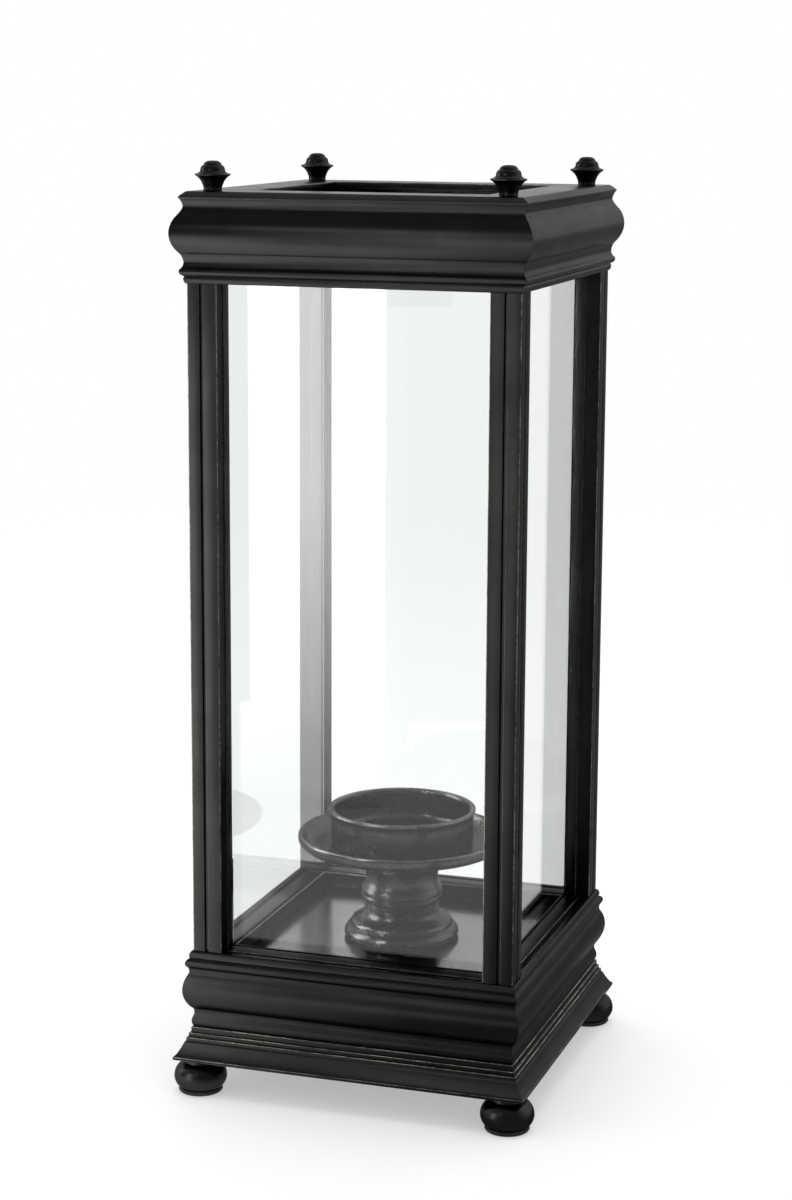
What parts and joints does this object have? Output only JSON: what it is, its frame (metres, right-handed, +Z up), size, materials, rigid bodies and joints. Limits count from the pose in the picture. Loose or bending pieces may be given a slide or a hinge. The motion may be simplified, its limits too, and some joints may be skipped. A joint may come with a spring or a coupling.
{
  "type": "hurricane candle lantern",
  "caption": "Square glazed hurricane lantern with moulded base and open crown, grooved posts, bun feet, turned finials and a lift-out pedestal candle holder.",
  "frame": {"origin": "on the ground at the centre of the square footprint", "axes": "+Z up along the height, front pane towards -Y, +X to its right"},
  "size_m": [0.2262, 0.2262, 0.5591],
  "materials": {
    "frame_metal": "satin",
    "floor_metal": "satin",
    "holder_metal": "satin",
    "glass": "polished",
    "fastener_steel": "satin",
    "foot_pad": "matte",
    "felt": "matte"
  },
  "bodies": {
    "lantern": {"base_rail_front": "frame_metal", "base_rail_right": "frame_metal", "base_rail_back": "frame_metal", "base_rail_left": "frame_metal", "base_corner_block_front_right": "frame_metal", "base_corner_block_back_right": "frame_metal", "base_corner_block_back_left": "frame_metal", "base_corner_block_front_left": "frame_metal", "post_screw_front_right": "fastener_steel", "post_screw_back_right": "fastener_steel", "post_screw_back_left": "fastener_steel", "post_screw_front_left": "fastener_steel", "foot_front_right": "frame_metal", "foot_back_right": "frame_metal", "foot_back_left": "frame_metal", "foot_front_left": "frame_metal", "foot_glide_front_right": "foot_pad", "foot_glide_back_right": "foot_pad", "foot_glide_back_left": "foot_pad", "foot_glide_front_left": "foot_pad", "post_front_right": "frame_metal", "post_back_right": "frame_metal", "post_back_left": "frame_metal", "post_front_left": "frame_metal", "glass_front": "glass", "glass_right": "glass", "glass_back": "glass", "glass_left": "glass", "crown_rail_front": "frame_metal", "crown_rail_right": "frame_metal", "crown_rail_back": "frame_metal", "crown_rail_left": "frame_metal", "crown_corner_block_front_right": "frame_metal", "crown_corner_block_back_right": "frame_metal", "crown_corner_block_back_left": "frame_metal", "crown_corner_block_front_left": "frame_metal", "finial_front_right": "frame_metal", "finial_back_right": "frame_metal", "finial_back_left": "frame_metal", "finial_front_left": "frame_metal", "floor_plate": "floor_metal"},
    "candle_holder": {"holder_pad": "felt", "holder_stem": "holder_metal", "holder_dish": "holder_metal", "holder_cup": "holder_metal", "holder_bolt": "fastener_steel"}
  },
  "joints": [
    {"name": "holder_lift", "type": "slide", "parent": "lantern", "child": "candle_holder", "axis": [0, 0, 1], "range_m": [0, 0.505]}
  ]
}
